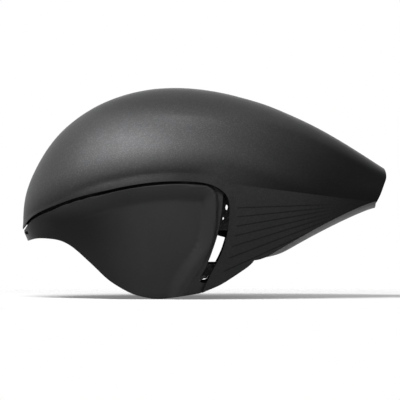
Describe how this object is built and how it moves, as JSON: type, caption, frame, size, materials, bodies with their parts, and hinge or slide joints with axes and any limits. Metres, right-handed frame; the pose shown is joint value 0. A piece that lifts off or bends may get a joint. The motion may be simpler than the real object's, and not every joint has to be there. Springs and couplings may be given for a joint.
{
  "type": "aero time trial helmet",
  "caption": "Long-tailed cycling time trial helmet with ear covers, gill slots, foam liner, dial-adjusted fit band and a chin strap with side-release buckle.",
  "frame": {"origin": "middle of the wearer's head in plan, at the level of the brow edge: the point where the helmet sits on a head", "axes": "nose along -X, tail along +X, crown along +Z, wearer's left ear along -Y; symmetric about the plane Y = 0 but for the buckle"},
  "size_m": [0.3492, 0.195, 0.2015],
  "materials": {
    "shell_paint": "satin",
    "cover_paint": "satin",
    "belly_plastic": "satin",
    "foam": "matte",
    "black_plastic": "matte",
    "band_plastic": "satin",
    "grey_plastic": "satin",
    "pad_cloth": "matte",
    "webbing": "matte",
    "steel": "satin"
  },
  "bodies": {
    "helmet": {"upper_shell": "shell_paint", "lower_shell": "cover_paint", "intake_grille": "black_plastic", "liner_left": "foam", "liner_right": "foam", "tail_liner_left": "foam", "tail_liner_right": "foam", "tail_underside": "belly_plastic", "tail_cap": "black_plastic", "exhaust_grille": "black_plastic", "brow_pad": "pad_cloth", "crown_pad_left": "pad_cloth", "crown_pad_right": "pad_cloth", "side_pad_left": "pad_cloth", "side_pad_right": "pad_cloth", "temple_plate_left": "grey_plastic", "temple_plate_right": "grey_plastic", "temple_pin_left": "grey_plastic", "temple_pin_right": "grey_plastic", "front_strap_anchors": "black_plastic", "rear_strap_anchors": "black_plastic", "front_strap_left": "webbing", "front_strap_right": "webbing", "rear_strap_left": "webbing", "rear_strap_right": "webbing", "strap_divider_left": "band_plastic", "strap_divider_right": "band_plastic", "chin_strap_left": "webbing", "chin_strap_right": "webbing", "buckle_socket": "black_plastic"},
    "fit_arms": {"fit_arm_left": "band_plastic", "fit_arm_right": "band_plastic", "band_link_left": "band_plastic", "band_link_right": "band_plastic"},
    "cradle": {"cradle_housing": "band_plastic", "cradle_cover": "band_plastic", "cradle_pad_left": "pad_cloth", "cradle_pad_right": "pad_cloth"},
    "dial": {"dial_pinion": "grey_plastic", "dial_knob": "grey_plastic", "dial_screw": "steel"},
    "left_rack": {"rack_left": "band_plastic"},
    "right_rack": {"rack_right": "band_plastic"},
    "plug": {"buckle_plug": "black_plastic"},
    "keeper": {"strap_keeper": "black_plastic"}
  },
  "joints": [
    {"name": "arm_tilt", "type": "hinge", "parent": "helmet", "child": "fit_arms", "pos_m": [-0.03, 0, 0.025], "axis": [0, 1, 0], "range_deg": [-6, 6]},
    {"name": "band_tighten", "type": "slide", "parent": "fit_arms", "child": "cradle", "axis": [-1, 0, 0], "range_m": [0, 0.015], "deforming": ["band_link_left", "band_link_right"]},
    {"name": "dial_turn", "type": "hinge", "parent": "cradle", "child": "dial", "pos_m": [0.0877, 0, 0], "axis": [-1, 0, 0], "range_deg": [0, 246]},
    {"name": "left_rack_slide", "type": "slide", "parent": "cradle", "child": "left_rack", "axis": [0, 1, 0], "range_m": [0, 0.015]},
    {"name": "right_rack_slide", "type": "slide", "parent": "cradle", "child": "right_rack", "axis": [0, -1, 0], "range_m": [0, 0.015]},
    {"name": "buckle_release", "type": "slide", "parent": "helmet", "child": "plug", "axis": [0, 1, 0], "range_m": [0, 0.018], "deforming": ["chin_strap_right"]},
    {"name": "keeper_slide", "type": "slide", "parent": "helmet", "child": "keeper", "axis": [0, 1, 0], "range_m": [-0.008, 0.008]}
  ],
  "couplings": [
    {"joint": "dial_turn", "follows": "band_tighten", "rad_per_m": 285.71},
    {"joint": "left_rack_slide", "follows": "band_tighten", "ratio": 1},
    {"joint": "right_rack_slide", "follows": "band_tighten", "ratio": 1}
  ]
}
